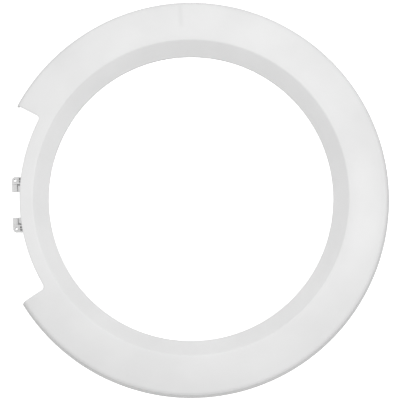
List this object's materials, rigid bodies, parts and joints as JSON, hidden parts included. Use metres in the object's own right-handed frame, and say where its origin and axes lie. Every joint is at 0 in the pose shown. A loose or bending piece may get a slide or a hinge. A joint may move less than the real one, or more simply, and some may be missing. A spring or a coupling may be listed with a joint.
{
  "type": "washing machine outer door ring",
  "caption": "Round one-piece plastic trim ring for a front-loading washing machine door, with a porthole, a hinge notch with two cored lugs, and ribs and screw bosses behind.",
  "frame": {"origin": "centre of the porthole, on the plane where the door glass seats, at the rear end of the lip", "axes": "+Z along the porthole's axis out of the front face; the hinge notch is on the -X side; +Y is up on the door"},
  "size_m": [0.3896, 0.41, 0.0399],
  "materials": {
    "white_plastic": "smooth semi-gloss white moulded plastic"
  },
  "bodies": {
    "root": {"outer_door_ring": "white_plastic"}
  },
  "joints": []
}
